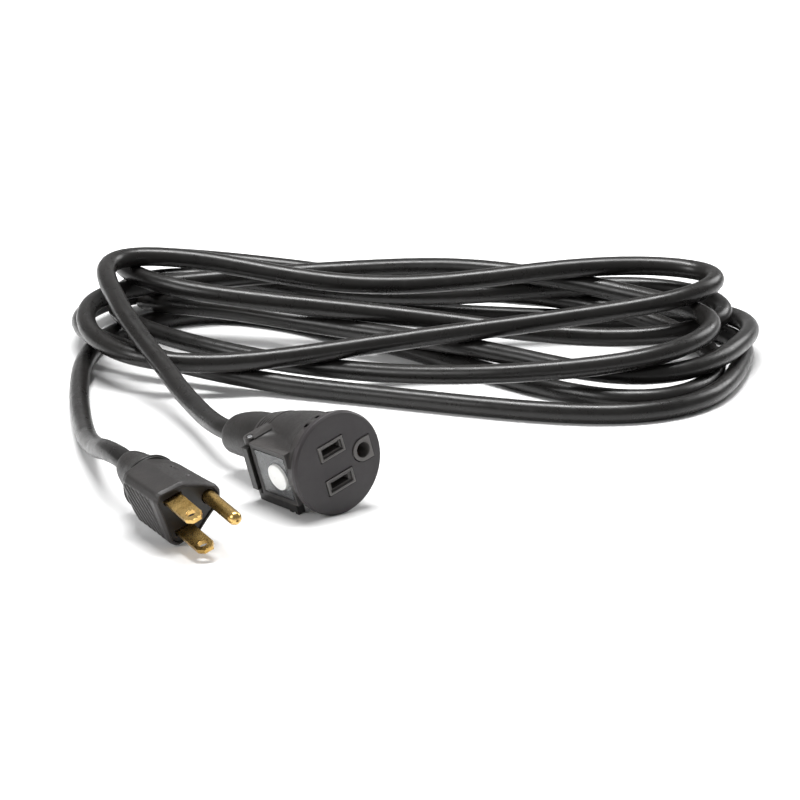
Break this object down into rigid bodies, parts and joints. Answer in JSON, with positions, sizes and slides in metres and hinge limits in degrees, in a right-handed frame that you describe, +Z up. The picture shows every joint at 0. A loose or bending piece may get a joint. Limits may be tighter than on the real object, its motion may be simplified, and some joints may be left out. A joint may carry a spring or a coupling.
{
  "type": "shore power cord",
  "caption": "Coiled black grounded power cord with a moulded plug and a round-faced locking connector with release button and latch lever.",
  "frame": {"origin": "on the floor under the middle of the box that holds the plug and the connector", "axes": "+Z up from the floor, -Y towards the side that the plug and the connector face, +X to the right seen from that side"},
  "size_m": [0.2581, 0.3071, 0.0367],
  "materials": {
    "black_vinyl": "moulded vinyl, fine matte grain",
    "cord_vinyl": "satin extruded jacket",
    "grey_nylon": "moulded nylon",
    "clear_plastic": "clear gloss",
    "white_plastic": "satin white",
    "brass": "stamped brass",
    "steel": "drawn steel pin",
    "black_insulation": "wire insulation",
    "white_insulation": "wire insulation",
    "green_insulation": "wire insulation"
  },
  "bodies": {
    "cord_set": {"connector_face": "black_vinyl", "contact_carrier": "grey_nylon", "line_contact": "brass", "neutral_contact": "brass", "ground_contact": "brass", "connector_line_conductor": "black_insulation", "connector_neutral_conductor": "white_insulation", "connector_ground_conductor": "green_insulation", "connector_body": "black_vinyl", "connector_strain_relief": "black_vinyl", "lock_window": "clear_plastic", "indicator_lamp": "clear_plastic", "latch_pin": "steel", "plug_body": "black_vinyl", "plug_bridge": "grey_nylon", "line_blade": "brass", "neutral_blade": "brass", "ground_pin": "brass", "plug_line_conductor": "black_insulation", "plug_neutral_conductor": "white_insulation", "plug_ground_conductor": "green_insulation", "plug_strain_relief": "black_vinyl", "cord_coil": "cord_vinyl", "connector_lead": "cord_vinyl", "plug_lead": "cord_vinyl"},
    "button": {"release_button": "white_plastic"},
    "latch": {"latch_lever": "black_vinyl"}
  },
  "joints": [
    {"name": "button_press", "type": "slide", "parent": "cord_set", "child": "button", "axis": [0.7543, 0.596, 0.2754], "range_m": [0, 0.001], "stiffness_N_per_m": 30, "springref_m": -0.0002},
    {"name": "latch_pivot", "type": "hinge", "parent": "cord_set", "child": "latch", "pos_m": [0.00224, 0.0157, 0.0133], "axis": [0.244, 0.135, -0.9603], "range_deg": [0, 8]}
  ],
  "couplings": [
    {"joint": "latch_pivot", "follows": "button_press", "rad_per_m": 139.62}
  ]
}
